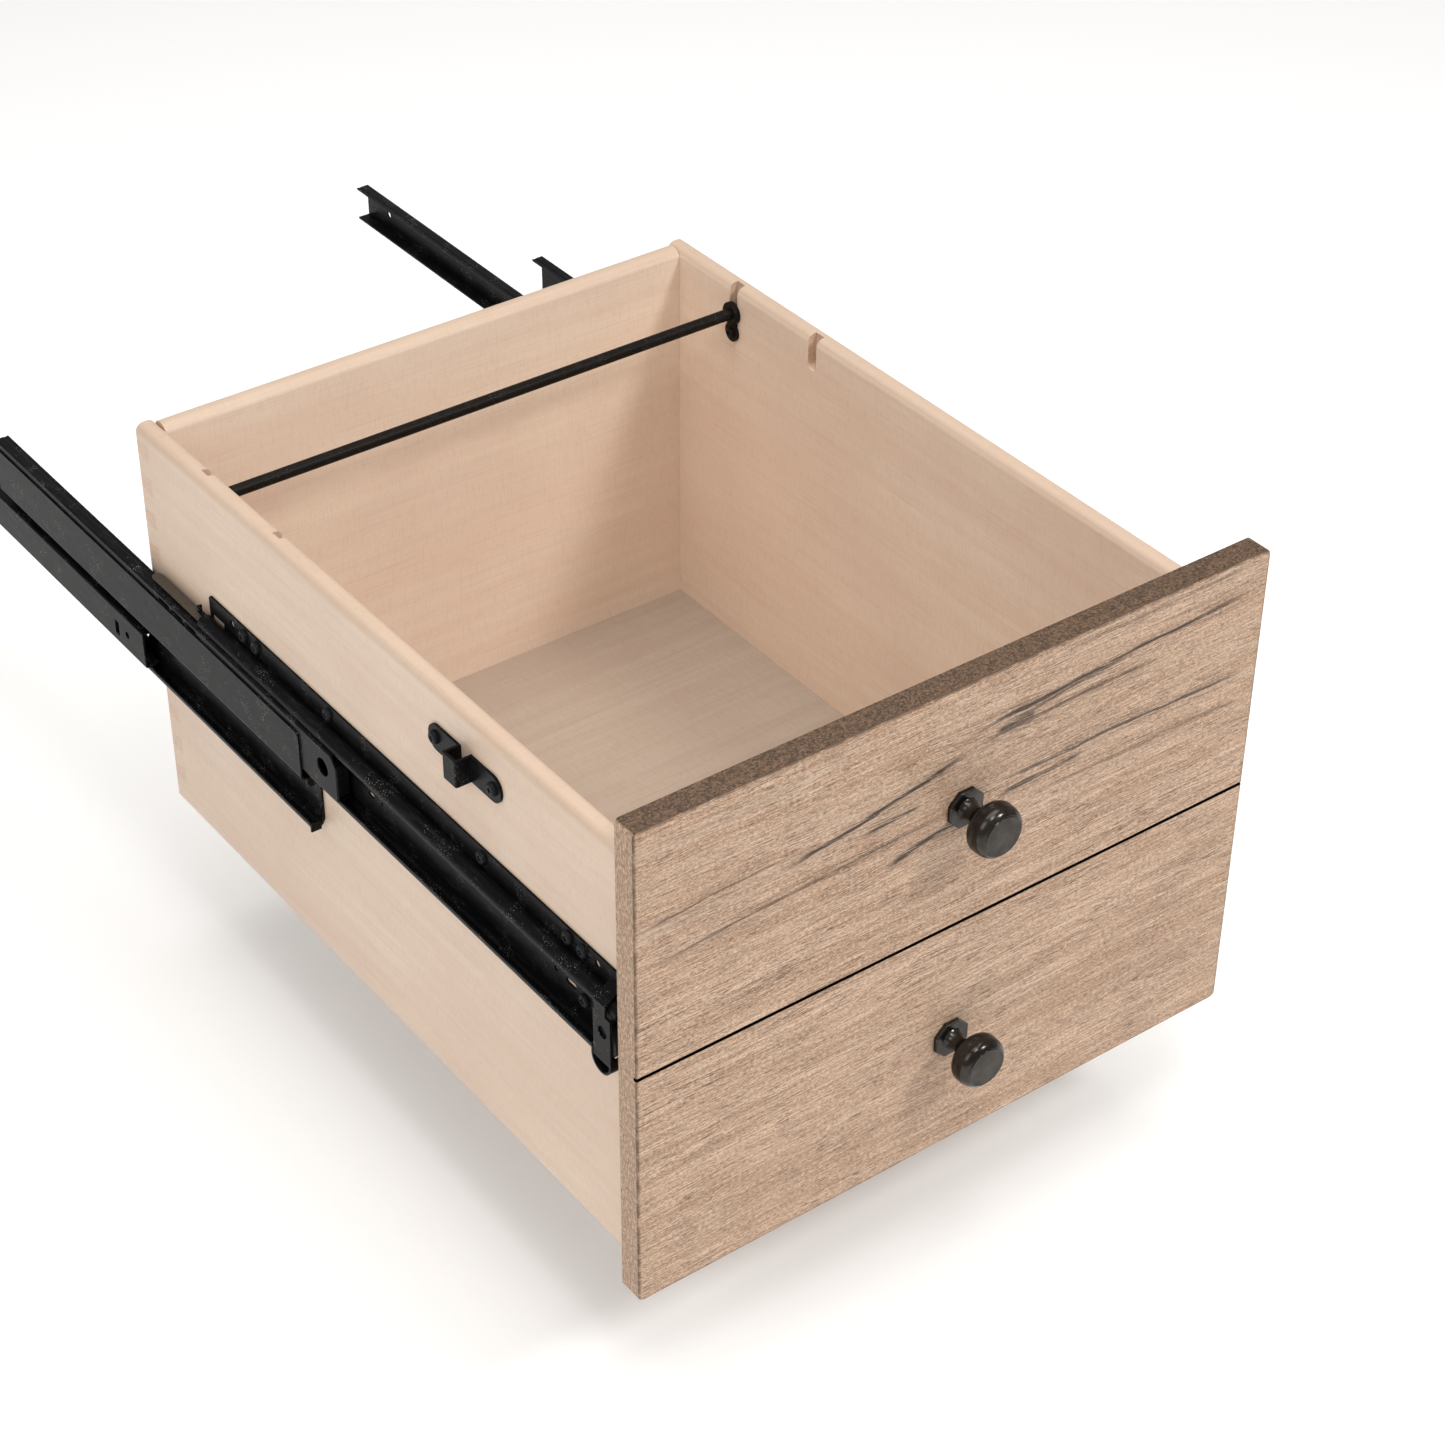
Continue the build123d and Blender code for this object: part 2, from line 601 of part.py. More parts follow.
lower_lip = lower_ball_half - ball_room + 0.3
with BuildPart() as cabinet_rail:
    low = lower_centre_z - lower_lip
    high = lower_centre_z + lower_lip
    with BuildSketch(section_plane(cabinet_rail_ends[1])) as section:
        bar((11.5, slide_gap), (low, high))
        bar((3.2, 12.3), (high - sheet, high))
        bar((3.2, 12.3), (low, low + sheet))
        fillet(section.vertices().group_by(Axis.X)[0], 1.1)
        ball_track(lower_ball_u, lower_centre_z + lower_ball_half)
        ball_track(lower_ball_u, lower_centre_z - lower_ball_half)
    extrude(amount=cabinet_rail_ends[1] - cabinet_rail_ends[0])
    for distance in cabinet_hole_distances:
        side_hole(distance, lower_centre_z, cabinet_hole_radius, (10, 14))
    # A lug folded inboard out of the web stops the lower cage.
    slab((11, 13), (510.0, 514.8), (113.5, 123.0), Mode.SUBTRACT)
    slab((2.2, slide_gap), (514.8, 516.0), (113.5, 123.0))
save_pair(cabinet_rail, "cabinet_rail")


def ball_places(ends, u, centre_z, half):
    """The centres of the balls of one cage, in a row above and a row below."""
    step = (ends[1] - ends[0]) / balls_per_row
    firsts = ends[0] + step / 2
    rows = (centre_z + half, centre_z - half)
    return [(-side_x - u, at(firsts + i * step), z) for i in range(balls_per_row) for z in rows]


cages = {
    "upper": (upper_cage_ends, upper_ball_u, upper_centre_z, upper_ball_half),
    "lower": (lower_cage_ends, lower_ball_u, lower_centre_z, lower_ball_half),
}
for level, (ends, ball_u, centre_z, half) in cages.items():
    centres = ball_places(ends, ball_u, centre_z, half)

    with BuildPart() as ball_cage:
        arms = (centre_z - half - cage_sheet / 2, centre_z + half + cage_sheet / 2)
        with BuildSketch(section_plane(ends[1])):
            bar((ball_u - cage_edge, ball_u - cage_edge + cage_sheet), arms)
            for arm_z in (centre_z - half, centre_z + half):
                arm = (arm_z - cage_sheet / 2, arm_z + cage_sheet / 2)
                bar((ball_u - cage_edge, ball_u + cage_edge), arm)
        extrude(amount=ends[1] - ends[0])
        with Locations(*centres):
            Cylinder(ball_radius + 0.1, 2.0, mode=Mode.SUBTRACT)
        if level == "upper":
            with BuildSketch(Plane.XY.offset(centre_z + half - cage_sheet / 2)):
                tongue = cage_tongue_end - ends[1] + 2
                with Locations((-side_x - ball_u, at(cage_tongue_end - tongue / 2))):
                    RectangleRounded(2 * cage_edge, tongue, cage_edge - 0.1)
                with Locations((-side_x - ball_u, at(ends[1] - 2 + tongue / 4))):
                    Rectangle(2 * cage_edge, tongue / 2)
            extrude(amount=cage_sheet)
    save_pair(ball_cage, level + "_ball_cage")

    with BuildPart() as balls:
        with Locations(*centres):
            Sphere(ball_radius)
    save_pair(balls, level + "_balls")
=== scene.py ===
import json
import math

import bpy
from mathutils import Matrix, Vector


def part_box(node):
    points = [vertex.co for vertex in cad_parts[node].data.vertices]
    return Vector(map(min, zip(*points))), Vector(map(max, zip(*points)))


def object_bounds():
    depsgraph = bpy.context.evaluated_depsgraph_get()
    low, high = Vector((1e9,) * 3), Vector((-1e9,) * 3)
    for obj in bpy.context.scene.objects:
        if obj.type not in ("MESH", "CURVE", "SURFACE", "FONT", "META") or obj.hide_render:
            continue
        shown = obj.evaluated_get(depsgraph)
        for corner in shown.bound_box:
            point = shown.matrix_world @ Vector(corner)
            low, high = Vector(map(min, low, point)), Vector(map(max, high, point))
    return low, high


# The look of a file drawer that hangs under a desk, drawn open on its slides.
# The materials use the frame's own coordinates, in millimetres: X across, Y into the desk, Z up.

MM = 0.001
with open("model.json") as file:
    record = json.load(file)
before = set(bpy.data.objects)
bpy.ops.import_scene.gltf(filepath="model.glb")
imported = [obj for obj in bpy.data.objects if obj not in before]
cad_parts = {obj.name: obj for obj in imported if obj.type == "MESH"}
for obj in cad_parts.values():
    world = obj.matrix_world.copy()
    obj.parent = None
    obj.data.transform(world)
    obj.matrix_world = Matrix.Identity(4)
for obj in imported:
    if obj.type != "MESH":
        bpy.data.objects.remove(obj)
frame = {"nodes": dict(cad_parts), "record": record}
cad_low, cad_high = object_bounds()

front_low, front_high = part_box("drawer_front")
FRONT_WIDTH = (front_high.x - front_low.x) / MM
FRONT_HEIGHT = (front_high.z - front_low.z) / MM
FRONT_FACE = front_low.y / MM
SPLIT = 147.75                # height of the saw groove in the false front
SPLIT_HALF = 1.0              # half the width that the groove's painted shade covers
SPLIT_DEPTH = 2.2
SEAMS = (79.4, 194.4)         # heights where two strips of the front's veneer meet

side_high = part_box("box_side_left")[1]
BOX_TOP = side_high.z / MM
INNER_X = -side_high.x / MM
INNER_Y = (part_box("box_front")[1].y / MM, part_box("box_back")[0].y / MM)


def tone(red, green, blue):
    """A display colour given in 0 to 255, as the linear colour that a shader takes."""
    def linear(value):
        value /= 255
        return value / 12.92 if value <= 0.04045 else ((value + 0.055) / 1.055) ** 2.4
    return (linear(red), linear(green), linear(blue), 1.0)


class Shader:
    """A material whose node graph is built by short calls, each of which returns a socket."""

    def __init__(self, name):
        self.material = bpy.data.materials.new(name)
        self.material.use_nodes = True
        self.tree = self.material.node_tree
        self.tree.nodes.clear()
        self.output = self.tree.nodes.new("ShaderNodeOutputMaterial")
        self.surface = self.tree.nodes.new("ShaderNodeBsdfPrincipled")
        self.tree.links.new(self.surface.outputs["BSDF"], self.output.inputs["Surface"])
        self.point = self.tree.nodes.new("ShaderNodeTexCoord").outputs["Object"]
        self.x, self.y, self.z = (self.mul(part, 1 / MM) for part in self.parts(self.point))

    def feed(self, socket, value):
        """Links a socket to another, or sets it to a plain value."""
        if isinstance(value, bpy.types.NodeSocket):
            self.tree.links.new(value, socket)
        else:
            socket.default_value = value

    def set(self, **values):
        """Sets the surface's inputs, such as roughness=0.4 or coat_weight=0.1."""
        for name, value in values.items():
            title = name.replace("_", " ").title().replace("Ior", "IOR")
            self.feed(self.surface.inputs[title], value)

    def parts(self, vector):
        """The X, Y and Z of a vector."""
        node = self.tree.nodes.new("ShaderNodeSeparateXYZ")
        self.feed(node.inputs[0], vector)
        return list(node.outputs)

    def math(self, operation, a, b=0.0, c=0.0):
        """A sum or function of up to three values, by the name of its Math operation."""
        node = self.tree.nodes.new("ShaderNodeMath")
        node.operation = operation
        for socket, value in zip(node.inputs, (a, b, c)):
            self.feed(socket, value)
        return node.outputs[0]

    def add(self, a, b):
        return self.math("ADD", a, b)

    def sub(self, a, b):
        return self.math("SUBTRACT", a, b)

    def mul(self, a, b):
        return self.math("MULTIPLY", a, b)

    def mad(self, a, b, c):
        """a times b plus c."""
        return self.math("MULTIPLY_ADD", a, b, c)

    def vector(self, x, y, z):
        """A vector from three numbers or sockets."""
        node = self.tree.nodes.new("ShaderNodeCombineXYZ")
        for socket, value in zip(node.inputs, (x, y, z)):
            self.feed(socket, value)
        return node.outputs[0]

    def noise(self, vector, detail=2.0, roughness=0.5, scale=1.0):
        """Smooth noise, about 0.5 on average.

        Where the vector is made from millimetres, its factors are the noise's bumps per millimetre.
        """
        node = self.tree.nodes.new("ShaderNodeTexNoise")
        self.feed(node.inputs["Vector"], vector)
        node.inputs["Scale"].default_value = scale
        node.inputs["Detail"].default_value = detail
        node.inputs["Roughness"].default_value = roughness
        return node.outputs["Fac"]

    def cells(self, vector, scale):
        """The distance to the nearest of scattered points."""
        node = self.tree.nodes.new("ShaderNodeTexVoronoi")
        self.feed(node.inputs["Vector"], vector)
        node.inputs["Scale"].default_value = scale
        return node.outputs["Distance"]

    def step(self, value, low, high, out_low=0.0, out_high=1.0):
        """A smooth step from out_low to out_high as value goes from low to high."""
        node = self.tree.nodes.new("ShaderNodeMapRange")
        node.interpolation_type = "SMOOTHSTEP"
        for socket, given in zip(node.inputs, (value, low, high, out_low, out_high)):
            self.feed(socket, given)
        return node.outputs[0]

    def mix(self, factor, a, b, blend="MIX"):
        """A blend of two colours, whose sockets are the seventh and eighth of the node."""
        node = self.tree.nodes.new("ShaderNodeMix")
        node.data_type = "RGBA"
        node.blend_type = blend
        self.feed(node.inputs["Factor"], factor)
        self.feed(node.inputs[6], a)
        self.feed(node.inputs[7], b)
        return node.outputs[2]

    def tinted(self, color, strength, tint):
        """A colour times a strength, and times a tint's red, green and blue."""
        share = tuple(strength * part for part in tint) + (1.0,)
        return self.mix(1.0, color, share, "MULTIPLY")

    def near(self, value, middle, half, fade):
        """One within half of the middle, falling to nothing over the fade."""
        off = self.math("ABSOLUTE", self.sub(value, middle))
        return self.step(off, half, half + fade, 1.0, 0.0)

    def facing(self, axis):
        """How far the surface faces along an axis, either way, from 0 to 1."""
        normal = self.tree.nodes.new("ShaderNodeNewGeometry").outputs["Normal"]
        return self.math("ABSOLUTE", self.parts(normal)["XYZ".index(axis)])

    def rounded(self, radius):
        """A normal that softens sharp edges over a radius in millimetres."""
        node = self.tree.nodes.new("ShaderNodeBevel")
        node.samples = 4
        node.inputs["Radius"].default_value = radius * MM
        return node.outputs[0]

    def bump(self, height, strength, depth, normal=None):
        """Relief of a depth in millimetres from a height between 0 and 1."""
        node = self.tree.nodes.new("ShaderNodeBump")
        node.inputs["Strength"].default_value = strength
        node.inputs["Distance"].default_value = depth * MM
        self.feed(node.inputs["Height"], height)
        if normal is not None:
            self.feed(node.inputs["Normal"], normal)
        self.feed(self.surface.inputs["Normal"], node.outputs[0])


def grain(s, along, across, depth, seed, warp):
    """Wood figure: the bent distance across the grain, soft bands and pores."""
    slow = s.noise(s.vector(s.mul(along, 0.006), s.mul(across, 0.02), s.add(seed, 0.3)), 2.0)
    fast = s.noise(s.vector(s.mul(along, 0.025), s.mul(across, 0.07), s.add(seed, 4.7)), 2.0)
    bent = s.mad(s.sub(slow, 0.5), 2 * warp, s.mad(s.sub(fast, 0.5), warp * 0.5, across))
    bands = s.noise(s.vector(s.mul(along, 0.004), s.mul(bent, 0.12), seed), 3.0, 0.55)
    pores = s.noise(s.vector(s.mul(along, 0.16), s.mul(bent, 2.1), s.mad(depth, 0.5, seed)), 3.0, 0.6)
    return bent, bands, pores


# The false front's dark mineral streaks, in millimetres from its lower left corner:
# start, end, upward bow between them, half thickness, strength.
STREAKS = [
    ((184, 261), (388, 273), 2.0, 1.1, 1.0),
    ((212, 259), (300, 268), 1.0, 0.9, 0.8),
    ((78, 233), (202, 255), -2.0, 1.2, 1.0),
    ((196, 255), (322, 257), 1.5, 0.8, 0.8),
    ((210, 257.5), (238, 259.5), 0.0, 1.4, 1.0),
    ((130, 232), (168, 234.5), 0.0, 0.9, 0.9),
    ((144, 205), (200, 214), 1.5, 1.5, 1.0),
    ((0, 212), (190, 221), 1.5, 0.9, 0.7),
    ((205, 226), (388, 223), 1.5, 0.9, 0.9),
    ((212, 217), (275, 220), 0.5, 1.2, 0.9),
    ((0, 236), (90, 240), 0.5, 0.6, 0.7),
    ((228, 208), (388, 206), 1.0, 1.0, 0.5),
    ((240, 287), (388, 290), 0.5, 0.7, 0.45),
]


def streak(s, u, ragged, broken, hairs, start, end, bow, half, strength):
    """A dark line of mineral stain with hairlines beside it, both thinning towards its ends."""
    share = s.math("DIVIDE", s.sub(u, start[0]), end[0] - start[0])
    arc = s.mul(s.mul(share, s.sub(1.0, share)), 4 * bow)
    middle = s.add(s.mad(share, end[1] - start[1], start[1]), arc)
    off = s.math("ABSOLUTE", s.sub(ragged, middle))
    line = s.mul(s.step(off, half * 0.4, half * 1.9, 1.0, 0.0), broken)
    beside = s.mul(s.step(off, 1.0, 8.0, 0.8, 0.0), hairs)
    ends = s.step(s.math("ABSOLUTE", s.sub(share, 0.5)), 0.30, 0.5, strength, 0.0)
    return s.mul(s.math("MAXIMUM", line, beside), ends)


# Where growth rings arch on the false front: tip, length, half height, whether they point right (1)
# or left (-1), strength.
CATHEDRALS = [
    ((338, 246), 150, 19, 1, 1.0),
    ((232, 46), 150, 22, -1, 1.0),
    ((148, 34), 110, 16, 1, 0.7),
]


def cathedral(s, u, v, tip, reach, half_height, facing):
    """Nested arches of growth rings, whose tips lie at tip and point along facing."""
    away = s.mul(s.sub(u, tip[0]), -facing)
    rise = s.sub(v, tip[1])
    level = s.sub(away, s.mul(s.mul(rise, rise), reach / half_height ** 2))
    wander = s.noise(s.vector(s.mul(u, 0.03), s.mul(v, 0.1), tip[0]), 3.0, 0.6)
    rings = s.math("SINE", s.mad(s.sub(wander, 0.5), 14.0, s.mul(level, 0.42)))
    inside = s.mul(s.step(level, -6.0, 8.0), s.step(away, reach * 0.7, reach * 1.3, 1.0, 0.0))
    return s.mul(s.step(rings, 0.55, 1.0), inside)


def front_wood():
    """Weathered tan veneer with level grain, laid in strips, with a darker band along the top edge."""
    s = Shader("front_wood")
    u = s.add(s.x, FRONT_WIDTH / 2)
    v = s.z
    strips = 0.0
    for height in (SEAMS[0], SPLIT, SEAMS[1]):
        strips = s.add(strips, s.step(v, height - 0.2, height + 0.2))
    face = s.step(s.facing("Y"), 0.6, 0.85)
    top = s.step(s.facing("Z"), 0.6, 0.85)

    # Soft bands, then fine fibres, dashes of dark pores and a sanded tooth.
    seed = s.mul(strips, 5.3)
    slow = s.noise(s.vector(s.mul(u, 0.008), s.mul(v, 0.03), seed), 2.0)
    bent = s.mad(slow, 9.0, v)
    bands = s.noise(s.vector(s.mul(u, 0.005), s.mul(bent, 0.10), seed), 4.0, 0.6)
    fibres = s.noise(s.vector(s.mul(u, 0.035), s.mul(bent, 1.0), seed), 5.0, 0.7)
    pores = s.noise(s.vector(s.mul(u, 0.085), s.mul(bent, 1.5), s.mad(s.y, 0.5, seed)), 3.0, 0.6)
    tooth = s.noise(s.vector(s.mul(u, 0.45), s.mul(v, 1.1), s.y), 3.0, 0.85)
    lines = s.noise(s.vector(s.mul(u, 0.013), s.mul(bent, 1.05), s.add(seed, 2.0)), 4.0, 0.6)
    color = s.mix(s.step(bands, 0.32, 0.68), tone(176, 142, 115), tone(206, 175, 149))
    color = s.mix(s.step(lines, 0.52, 0.64, 0.0, 0.7), color, tone(136, 106, 83))
    color = s.mix(s.step(fibres, 0.44, 0.64, 0.0, 0.58), color, tone(144, 113, 89))
    color = s.mix(s.step(fibres, 0.34, 0.50, 0.5, 0.0), color, tone(222, 196, 171))
    patches = s.noise(s.vector(s.mul(u, 0.02), s.mul(v, 0.06), 9.0), 3.0, 0.6)
    pore_share = s.mul(s.step(pores, 0.53, 0.64), s.step(patches, 0.35, 0.6, 0.35, 1.0))
    color = s.mix(pore_share, color, tone(94, 69, 51))
    color = s.mix(s.step(tooth, 0.50, 0.64, 0.0, 0.72), color, tone(112, 86, 66))
    color = s.mix(s.step(tooth, 0.36, 0.50, 0.5, 0.0), color, tone(232, 208, 185))

    # The upper strip is greyer, with mineral stain in it, and growth rings arch beside the knobs.
    upper = s.step(v, 190.0, 215.0)
    color = s.mix(s.mul(s.step(bands, 0.45, 0.7), s.mul(upper, 0.30)), color, tone(150, 132, 114))
    waver = s.noise(s.vector(s.mul(u, 0.022), s.mul(v, 0.12), 3.0), 5.0, 0.6)
    ragged = s.add(v, s.mad(waver, 6.0, -3.0))
    broken = s.noise(s.vector(s.mul(u, 0.03), 8.0, s.mul(ragged, 1.1)), 4.0, 0.7)
    broken = s.step(broken, 0.34, 0.48)
    hairs = s.step(s.noise(s.vector(s.mul(u, 0.012), s.mul(ragged, 1.25), 21.0), 3.0, 0.6), 0.50, 0.64)
    stain = 0.0
    for line in STREAKS:
        stain = s.math("MAXIMUM", stain, streak(s, u, ragged, broken, hairs, *line))
    color = s.mix(stain, color, tone(54, 39, 28))
    rings = 0.0
    for tip, reach, half_height, facing, strength in CATHEDRALS:
        arches = cathedral(s, u, v, tip, reach, half_height, facing)
        rings = s.math("MAXIMUM", rings, s.mul(arches, strength))
    color = s.mix(s.mul(rings, 0.34), color, tone(126, 100, 80))
    for height in SEAMS:
        color = s.mix(s.mul(s.near(v, height, 0.1, 0.4), 0.22), color, tone(120, 94, 70))

    # The saw groove and a little of the face beside it get painted shade, near black and without shine,
    # and the arrises are rubbed darker.
    depth = s.sub(s.y, FRONT_FACE)
    shallow = s.step(depth, SPLIT_DEPTH, SPLIT_DEPTH + 0.1, 1.0, 0.0)
    painted_groove_shade = s.mul(s.near(v, SPLIT, SPLIT_HALF, 0.2), shallow)
    from_side = s.math("MINIMUM", u, s.sub(FRONT_WIDTH, u))
    from_rim = s.math("MINIMUM", from_side, s.math("MINIMUM", v, s.sub(FRONT_HEIGHT, v)))
    wear_and_edge_shade = s.noise(s.vector(s.mul(u, 0.12), s.mul(v, 0.12), 2.0), 3.0, 0.6)
    patchy = s.step(wear_and_edge_shade, 0.25, 0.6)
    color = s.mix(s.mul(s.step(from_rim, 0.3, 2.0, 0.85, 0.0), patchy), color, tone(88, 66, 49))

    # The grain runs along each edge band, and the top one has soaked up more stain.
    speck = s.noise(s.vector(s.mul(u, 0.7), s.mul(s.y, 0.8), s.mul(v, 0.4)), 4.0, 0.8)
    edge = s.mix(s.step(speck, 0.40, 0.60), tone(202, 173, 147), tone(140, 111, 88))
    long_fibre = s.noise(s.vector(s.mul(s.y, 1.4), s.mul(v, 0.09), s.mul(u, 0.04)), 4.0, 0.7)
    edge = s.mix(s.step(long_fibre, 0.44, 0.66, 0.0, 0.65), edge, tone(138, 109, 86))
    top_color = s.mix(s.step(speck, 0.40, 0.60), tone(120, 94, 73), tone(44, 33, 24))
    cross = s.noise(s.vector(s.mul(u, 0.3), s.mul(s.y, 1.3), 5.0), 4.0, 0.75)
    top_color = s.mix(s.step(cross, 0.42, 0.62, 0.0, 0.6), top_color, tone(74, 58, 45))
    edge = s.mix(top, edge, top_color)
    worn = s.mul(s.mul(s.near(depth, 0.6, 0.2, 0.5), 0.9), patchy)
    edge = s.mix(worn, edge, tone(82, 61, 45))
    color = s.mix(face, edge, color)
    # Painted shade in and beside the saw groove.
    color = s.mix(painted_groove_shade, color, tone(16, 10, 7))

    s.set(base_color=color, roughness=s.mad(fibres, 0.22, 0.42))
    s.set(specular_ior_level=s.mad(painted_groove_shade, -0.35, 0.35))
    s.bump(s.mad(pores, -0.6, s.mul(tooth, 0.5)), 0.6, 0.22, s.rounded(0.5))
    return s.material


WARM = (1.0, 0.965, 0.93)     # the box wood's tint
INNER_LIGHT_TINT = (1.0, 1.045, 1.09)     # and that of the painted light on its inner faces


def pale_wood(name, along, across, through, seed=0.0, painted_shade=1.0, painted_inner_light=1.19):
    """Pale lacquered box wood with faint straight grain.

    The axes that run along, across and through the boards are given by letter. The painted shade
    darkens all of the wood, and the painted inner light brightens what faces the inside of the box.
    """
    s = Shader(name)
    axes = {"X": s.x, "Y": s.y, "Z": s.z}
    a, c, t = axes[along], axes[across], axes[through]
    bent, bands, pores = grain(s, a, c, t, 1.7 + seed, 3.0)
    cloud = s.noise(s.vector(s.mul(s.x, 0.008), s.mul(s.y, 0.008), s.mul(s.z, 0.012)), 3.0, 0.55)
    color = s.mix(s.step(cloud, 0.3, 0.7), tone(214, 193, 175), tone(221, 203, 185))
    color = s.mix(s.step(bands, 0.38, 0.66, 0.0, 0.30), color, tone(209, 182, 162))
    lines = s.noise(s.vector(s.mul(a, 0.012), s.mul(bent, 1.6), 3.0), 4.0, 0.6)
    color = s.mix(s.step(lines, 0.50, 0.68, 0.0, 0.36), color, tone(194, 165, 143))
    ripple = s.noise(s.vector(s.mul(a, 0.9), s.mul(c, 0.12), s.mul(t, 0.12)), 3.0, 0.7)
    color = s.mix(s.step(ripple, 0.48, 0.66, 0.0, 0.16), color, tone(186, 156, 134))
    color = s.mix(s.mul(s.step(pores, 0.58, 0.72), 0.26), color, tone(172, 140, 116))
    # The rounded top edge is darkened as painted shade, and end grain is a little darker.
    wear_and_edge_shade = s.step(s.z, BOX_TOP - 6.5, BOX_TOP - 1.0)
    color = s.mix(s.mul(wear_and_edge_shade, 0.5), color, tone(178, 156, 138))
    grit = s.noise(s.vector(s.mul(s.x, 0.9), s.mul(s.y, 1.3), s.mul(s.z, 1.3)), 4.0, 0.7)
    end_grain = s.mix(s.step(grit, 0.4, 0.62), tone(216, 190, 170), tone(194, 165, 142))
    color = s.mix(s.step(s.facing(along), 0.7, 0.9, 0.0, 0.8), color, end_grain)
    # The warm tint, with the painted shade that darkens the box bottom.
    color = s.tinted(color, painted_shade, WARM)
    # Painted light: the inner faces are brightened and given a paler tint.
    between = s.step(s.math("ABSOLUTE", s.x), INNER_X + 0.3, INNER_X + 1.0, 1.0, 0.0)
    behind = s.step(s.y, INNER_Y[0] - 1.0, INNER_Y[0] - 0.3)
    inside = s.mul(s.mul(between, behind), s.step(s.y, INNER_Y[1] + 0.3, INNER_Y[1] + 1.0, 1.0, 0.0))
    color = s.mix(inside, color, s.tinted(color, painted_inner_light, INNER_LIGHT_TINT))
    s.set(base_color=color, roughness=s.mad(lines, 0.16, 0.36), specular_ior_level=0.4)
    s.set(coat_weight=0.12, coat_roughness=0.35)
    s.bump(s.add(lines, s.mul(pores, 0.5)), 0.25, 0.08, s.rounded(0.4))
    return s.material


def black_steel(name, base, rough, specks, wear):
    """Black painted steel with a slight orange peel, dust specks and rubbed places."""
    s = Shader(name)
    smear = s.noise(s.vector(s.mul(s.x, 0.5), s.mul(s.y, 0.06), s.mul(s.z, 0.5)), 4.0, 0.6)
    color = s.mix(s.step(smear, 0.48, 0.75, 0.0, 0.5), base, tone(44, 41, 38))
    dust = s.cells(s.point, 1100.0)
    sparse = s.step(s.noise(s.point, 3.0, 0.6, 70.0), 0.50, 0.66)
    speck = s.mul(s.mul(s.step(dust, 0.12, 0.24, 1.0, 0.0), sparse), specks)
    color = s.mix(speck, color, tone(190, 186, 182))
    scratch = s.noise(s.vector(s.mul(s.x, 5.0), s.mul(s.y, 0.05), s.mul(s.z, 5.0)), 2.0, 0.5)
    color = s.mix(s.mul(s.step(scratch, 0.68, 0.76), wear * 0.5), color, tone(96, 92, 88))
    s.set(base_color=color, roughness=s.mad(smear, 0.28, rough), specular_ior_level=0.07)
    peel = s.noise(s.point, 3.0, 0.5, 600.0)
    s.bump(s.add(peel, s.mul(speck, 0.8)), 0.3, 0.1, s.rounded(0.3))
    return s.material


def bronze(name):
    """Dark oil-rubbed bronze with a soft sheen and a little warmth where hands polish it."""
    s = Shader(name)
    cloud = s.noise(s.point, 4.0, 0.6, 90.0)
    color = s.mix(s.step(cloud, 0.35, 0.7), tone(46, 43, 40), tone(68, 64, 60))
    turned = s.noise(s.vector(s.mul(s.y, 7.0), 0.0, 0.0), 2.0, 0.5)
    s.set(base_color=color, metallic=0.85, roughness=s.mad(cloud, 0.12, s.mad(turned, 0.05, 0.10)))
    s.bump(s.add(s.mul(turned, 0.4), s.noise(s.point, 3.0, 0.5, 1500.0)), 0.22, 0.06, s.rounded(0.25))
    return s.material


def bare_steel(name, base, rough):
    """Bare rolled steel with a faint grain along the slide and a trace of grease."""
    s = Shader(name)
    rolled = s.noise(s.vector(s.mul(s.x, 3.0), s.mul(s.y, 0.1), s.mul(s.z, 3.0)), 3.0, 0.6)
    grease = s.noise(s.point, 3.0, 0.6, 120.0)
    color = s.mix(s.step(grease, 0.5, 0.75, 0.0, 0.6), base, tone(70, 64, 56))
    s.set(base_color=color, metallic=1.0, roughness=s.mad(rolled, 0.2, rough))
    s.bump(rolled, 0.15, 0.05)
    return s.material


def rubber(name):
    """Matt black rubber with a fine texture."""
    s = Shader(name)
    cloud = s.noise(s.point, 4.0, 0.6, 200.0)
    color = s.mix(cloud, tone(24, 24, 25), tone(44, 43, 42))
    s.set(base_color=color, roughness=s.mad(cloud, 0.2, 0.62))
    s.bump(s.noise(s.point, 4.0, 0.7, 1800.0), 0.5, 0.1)
    return s.material


MATERIALS = {
    "front_oak": front_wood(),
    "box_sides": pale_wood("box_side_wood", along="Y", across="Z", through="X"),
    "box_ends": pale_wood("box_end_wood", along="X", across="Z", through="Y", seed=0.6),
    # The box bottom is darkened to about six tenths as painted shade.
    "bottom_panel": pale_wood("bottom_wood", "X", "Y", "Z", seed=1.3, painted_shade=0.61, painted_inner_light=0.98),
    "slide_black": black_steel("slide_steel", tone(15, 15, 17), rough=0.20, specks=0.8, wear=0.6),
    "rod_black": black_steel("rod_steel", tone(24, 20, 17), rough=0.26, specks=0.2, wear=0.4),
    "screw_black": black_steel("screw_steel", tone(30, 31, 33), rough=0.2, specks=0.3, wear=1.0),
    "knob_bronze": bronze("knob_metal"),
    "cage_steel": bare_steel("cage_metal", tone(104, 99, 92), rough=0.42),
    "ball_steel": bare_steel("ball_metal", tone(205, 204, 202), rough=0.08),
    "bumper_rubber": rubber("bumper_rubber"),
}
SLOTS = {entry["node"]: entry["material_slot"] for entry in frame["record"]["subparts"]}

# The box boards share one slot, but the sides' grain runs along Y and the ends' along X.
for name, node in frame["nodes"].items():
    kind = SLOTS[name]
    if kind == "box_maple":
        kind = "box_sides" if name.startswith("box_side") else "box_ends"
    for place in node.material_slots:
        place.material = MATERIALS[kind]


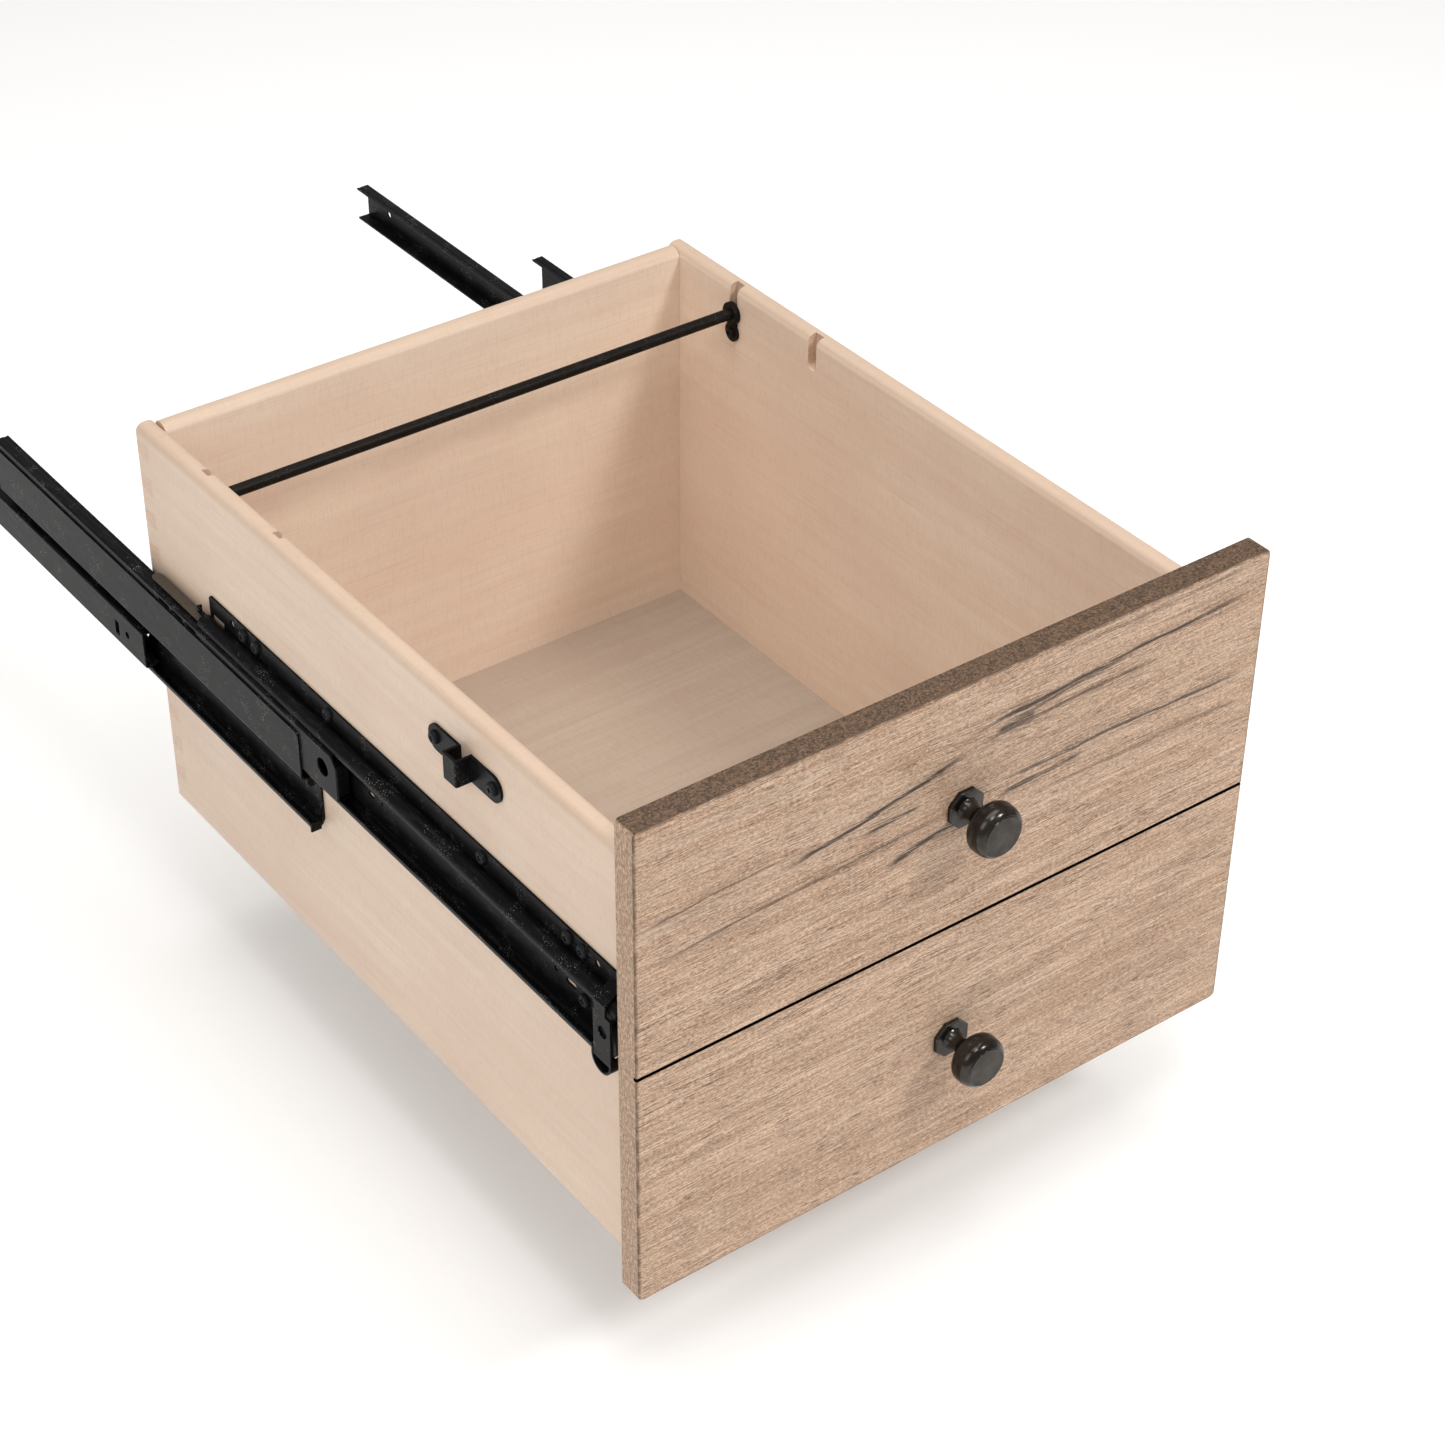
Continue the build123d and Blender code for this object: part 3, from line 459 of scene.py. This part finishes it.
# The studio, in metres and watts.
FLOOR_SIZE = 30.0
FLOOR_DROP = 0.09             # from the drawer's underside down to the floor
WORLD_LIGHT = 0.42
SOFT_LIGHTS = {               # place, size, power
    "key_above_right": ((0.95, -2.0, 2.1), 0.5, 32),
    "overhead": ((-0.1, -0.1, 2.2), 1.6, 25),
    "left": ((-2.0, -0.6, 1.7), 1.3, 13),
    "near_front": ((-0.4, -1.25, 2.15), 0.45, 8),
}


def stage():
    """A pale floor below the hanging drawer, and soft light from above, the front and the left."""
    bpy.ops.mesh.primitive_plane_add(size=FLOOR_SIZE, location=(0, 0, cad_low.z - FLOOR_DROP))
    floor = bpy.context.object
    floor.name = "floor"
    s = Shader("floor")
    grey = s.noise(s.point, 2.0, 0.5, 1.5)
    s.set(base_color=s.mix(grey, (0.95, 0.95, 0.95, 1), (0.97, 0.97, 0.97, 1)), roughness=0.9)
    s.set(emission_color=(1, 1, 1, 1), emission_strength=0.12)
    floor.data.materials.append(s.material)

    world = bpy.data.worlds.new("studio")
    bpy.context.scene.world = world
    world.use_nodes = True
    backdrop = world.node_tree.nodes["Background"]
    backdrop.inputs["Color"].default_value = (1.0, 0.995, 0.985, 1)
    backdrop.inputs["Strength"].default_value = WORLD_LIGHT

    # Each light points at the middle of the drawer.
    middle = (cad_low + cad_high) / 2
    for name, (place, size, power) in SOFT_LIGHTS.items():
        lamp = bpy.data.lights.new(name, "AREA")
        lamp.shape = "SQUARE"
        lamp.size = size
        lamp.energy = power
        lamp.color = (1.0, 0.985, 0.96)
        holder = bpy.data.objects.new(name, lamp)
        bpy.context.scene.collection.objects.link(holder)
        holder.location = place
        holder.rotation_euler = (middle - Vector(place)).to_track_quat("-Z", "Y").to_euler()


CAMERA_PLACE = (-0.8177, -1.3583, 1.1639)
CAMERA_TURN = math.radians(-36.747)
CAMERA_TILT = math.radians(36.441)
CAMERA_ROLL = math.radians(0.425)
LENS = 79.484                 # millimetres, for a sensor of this width
SENSOR = 36


def camera():
    """A long lens from the left front, looking down on the open drawer."""
    turn, tilt, roll = CAMERA_TURN, CAMERA_TILT, CAMERA_ROLL
    ahead = Vector((-math.sin(turn) * math.cos(tilt), math.cos(turn) * math.cos(tilt), -math.sin(tilt)))
    level = Vector((math.cos(turn), math.sin(turn), 0))
    right = level * math.cos(roll) + level.cross(ahead) * math.sin(roll)
    up = right.cross(ahead)
    lens = bpy.data.cameras.new("camera")
    lens.lens = LENS
    lens.sensor_width = SENSOR
    lens.clip_start = 0.05
    holder = bpy.data.objects.new("camera", lens)
    bpy.context.scene.collection.objects.link(holder)
    axes = Matrix((right, up, -ahead)).transposed().to_4x4()
    holder.matrix_world = Matrix.Translation(CAMERA_PLACE) @ axes
    bpy.context.scene.camera = holder


stage()
camera()
bpy.context.scene.view_settings.view_transform = "Standard"
